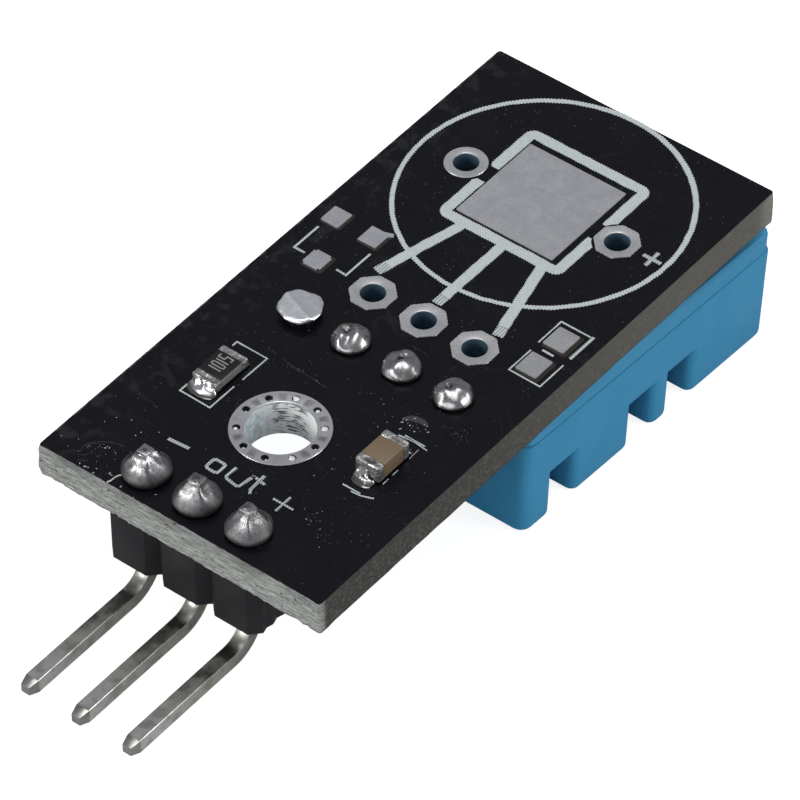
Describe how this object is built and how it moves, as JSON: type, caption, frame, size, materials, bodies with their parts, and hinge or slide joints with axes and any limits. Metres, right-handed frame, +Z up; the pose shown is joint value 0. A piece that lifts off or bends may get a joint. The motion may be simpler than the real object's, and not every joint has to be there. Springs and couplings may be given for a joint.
{
  "type": "temperature humidity sensor module",
  "caption": "Small black circuit board with a bent pin header, a ringed mounting hole and bare pads, and a slotted blue sensor case hung under its far end.",
  "frame": {"origin": "centre of the module's box, on the level front face of the sensor case that it rests on", "axes": "+Y runs along the board from the pin header to its far end, +Z points up out of the soldered face, +X runs to the capacitor's side; the board is tipped 3.7 degrees about X so that the sensor case is level"},
  "size_m": [0.0138, 0.036, 0.0087],
  "materials": {
    "black_board": "semi-gloss black solder mask on a glass fibre board",
    "tinned_copper": "dull tin plating",
    "bright_solder": "bright solder",
    "white_print": "flat white ink",
    "black_moulding": "satin black moulding",
    "plated_pin": "dull plated metal with drawn lines",
    "blue_moulding": "satin blue moulding",
    "green_board": "semi-gloss green solder mask",
    "pale_ceramic": "dull pale ceramic",
    "black_glaze": "glossy black glaze",
    "black_resin": "matte black resin",
    "tan_ceramic": "smooth tan ceramic"
  },
  "bodies": {
    "root": {"circuit_board": "black_board", "mounting_hole_plating": "tinned_copper", "spare_hole_plating_1": "tinned_copper", "spare_hole_plating_2": "tinned_copper", "spare_hole_plating_3": "tinned_copper", "side_hole_plating_left": "tinned_copper", "side_hole_plating_right": "tinned_copper", "square_pad": "tinned_copper", "transistor_pad_1": "tinned_copper", "transistor_pad_2": "tinned_copper", "transistor_pad_3": "tinned_copper", "chip_pad_1": "tinned_copper", "chip_pad_2": "tinned_copper", "drawing_print": "white_print", "header_housing": "black_moulding", "header_pin_1": "plated_pin", "header_pin_2": "plated_pin", "header_pin_3": "plated_pin", "header_solder_1": "bright_solder", "header_solder_2": "bright_solder", "header_solder_3": "bright_solder", "sensor_cover": "blue_moulding", "sensor_back_cover": "blue_moulding", "inner_board": "green_board", "humidity_element": "pale_ceramic", "thermistor": "black_glaze", "controller_chip": "black_resin", "sensor_pin_1": "plated_pin", "sensor_pin_2": "plated_pin", "sensor_pin_3": "plated_pin", "sensor_pin_4": "plated_pin", "sensor_solder_1": "bright_solder", "sensor_solder_2": "bright_solder", "sensor_solder_3": "bright_solder", "sensor_solder_4": "bright_solder", "resistor_body": "pale_ceramic", "resistor_coat": "black_glaze", "resistor_end_cap_1": "tinned_copper", "resistor_end_cap_2": "tinned_copper", "resistor_solder_1": "bright_solder", "resistor_solder_2": "bright_solder", "capacitor_body": "tan_ceramic", "capacitor_end_cap_1": "tinned_copper", "capacitor_end_cap_2": "tinned_copper", "capacitor_solder_1": "bright_solder", "capacitor_solder_2": "bright_solder"}
  },
  "joints": []
}
